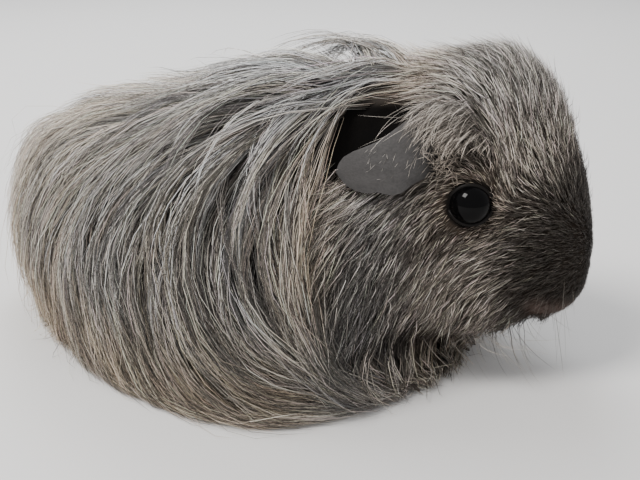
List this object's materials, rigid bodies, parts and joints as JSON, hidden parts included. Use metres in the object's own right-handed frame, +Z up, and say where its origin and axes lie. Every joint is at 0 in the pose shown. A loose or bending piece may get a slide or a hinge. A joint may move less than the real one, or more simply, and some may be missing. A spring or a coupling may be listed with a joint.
{
  "type": "guinea pig model",
  "caption": "Life-size still model of a young long-haired grey guinea pig at rest, its head turned a little to its left.",
  "frame": {"origin": "on the floor, under the middle of the animal's length and width", "axes": "+X forward along the body, +Y to the animal's left, +Z up"},
  "size_m": [0.1876, 0.1258, 0.0915],
  "materials": {
    "coat": "soft",
    "nose_skin": "satin",
    "ear_skin": "satin",
    "foot_skin": "satin",
    "claw_horn": "satin",
    "eye_gloss": "gloss"
  },
  "bodies": {
    "root": {"head": "coat", "lower_jaw": "coat", "neck": "coat", "trunk": "coat", "front_leg_left": "coat", "front_leg_right": "coat", "hind_leg_left": "coat", "hind_leg_right": "coat", "nose": "nose_skin", "front_foot_left": "foot_skin", "front_foot_right": "foot_skin", "hind_foot_left": "foot_skin", "hind_foot_right": "foot_skin", "front_claw_left_1": "claw_horn", "front_claw_left_2": "claw_horn", "front_claw_left_3": "claw_horn", "front_claw_left_4": "claw_horn", "front_claw_right_1": "claw_horn", "front_claw_right_2": "claw_horn", "front_claw_right_3": "claw_horn", "front_claw_right_4": "claw_horn", "hind_claw_left_1": "claw_horn", "hind_claw_left_2": "claw_horn", "hind_claw_left_3": "claw_horn", "hind_claw_right_1": "claw_horn", "hind_claw_right_2": "claw_horn", "hind_claw_right_3": "claw_horn", "ear_left": "ear_skin", "ear_right": "ear_skin", "eye_left": "eye_gloss", "eye_right": "eye_gloss"}
  },
  "joints": []
}
